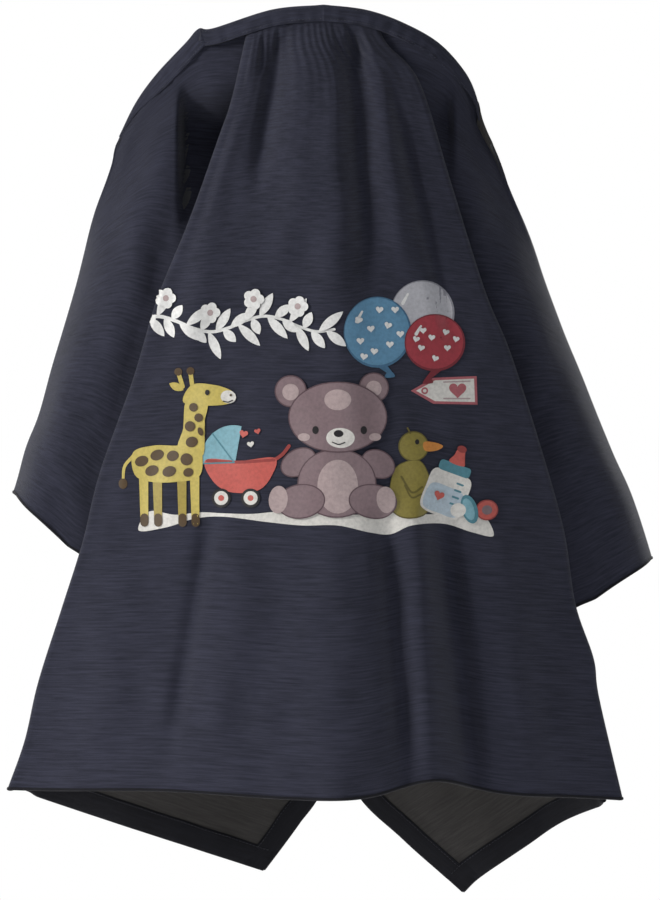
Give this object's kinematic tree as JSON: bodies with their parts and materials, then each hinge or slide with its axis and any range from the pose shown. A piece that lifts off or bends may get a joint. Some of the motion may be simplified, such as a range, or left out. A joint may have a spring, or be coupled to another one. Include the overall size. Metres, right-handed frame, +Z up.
{
  "type": "lead apron",
  "caption": "Cape-style protective lead apron: A-line front, two arm flaps and an open back hang from an arched neck band with a hook-and-loop neck tab.",
  "frame": {"origin": "middle of the neck opening, level with the crown of the neck band", "axes": "+X to the viewer's right, +Y from the front towards the open back, +Z up"},
  "size_m": [0.7474, 0.2815, 1.0255],
  "materials": {
    "shell_cloth": "dark navy woven cloth with a slub weave",
    "lining_cloth": "dark grey woven lining",
    "hem_cloth": "near-black turned hem, stitched",
    "lead_vinyl": "flexible lead-loaded vinyl sheet",
    "print_film": "heat-transfer film in flat colours",
    "hook_and_loop": "black hook-and-loop tape",
    "tape": "dark woven tape"
  },
  "bodies": {
    "front": {"front_shell": "shell_cloth", "front_core": "lead_vinyl", "front_lining": "lining_cloth", "front_hem": "hem_cloth", "neck_band": "shell_cloth", "neck_band_facing": "lining_cloth", "nursery_print": "print_film", "balloon_print": "print_film", "tag_print": "print_film", "scroll_print": "print_film"},
    "left_flap": {"left_flap_shell": "shell_cloth", "left_flap_core": "lead_vinyl", "left_flap_lining": "lining_cloth", "left_flap_hem": "hem_cloth"},
    "right_flap": {"right_flap_shell": "shell_cloth", "right_flap_core": "lead_vinyl", "right_flap_lining": "lining_cloth", "right_flap_hem": "hem_cloth"},
    "left_back": {"left_back_shell": "shell_cloth", "left_back_core": "lead_vinyl", "left_back_lining": "lining_cloth", "left_back_hem": "hem_cloth"},
    "right_back": {"right_back_shell": "shell_cloth", "right_back_core": "lead_vinyl", "right_back_lining": "lining_cloth", "right_back_hem": "hem_cloth", "loop_strip": "hook_and_loop"},
    "tab": {"closure_tab": "tape", "hook_strip": "hook_and_loop"},
    "hanger": {"hanging_loop": "tape"}
  },
  "joints": [
    {"name": "left_flap_lift", "type": "hinge", "parent": "front", "child": "left_flap", "pos_m": [-0.24, 0, -0.145], "axis": [0, 1, 0], "range_deg": [0, 40]},
    {"name": "right_flap_lift", "type": "hinge", "parent": "front", "child": "right_flap", "pos_m": [0.172, 0, -0.128], "axis": [0, -1, 0], "range_deg": [0, 40]},
    {"name": "left_back_open", "type": "hinge", "parent": "front", "child": "left_back", "pos_m": [-0.375, 0.016, -0.904], "axis": [0.2261, -0.0078, 0.9741], "range_deg": [0, 55]},
    {"name": "right_back_open", "type": "hinge", "parent": "front", "child": "right_back", "pos_m": [0.341, 0.016, -0.917], "axis": [0.2387, 0.0075, -0.9711], "range_deg": [0, 35]},
    {"name": "tab_swing", "type": "hinge", "parent": "left_back", "child": "tab", "pos_m": [-0.014, 0.0678, -0.125], "axis": [0, 0, -1], "range_deg": [0, 170]},
    {"name": "hanger_swing", "type": "hinge", "parent": "front", "child": "hanger", "pos_m": [-0.008, -0.0753, -0.024], "axis": [1, 0, 0], "range_deg": [0, 150]}
  ]
}
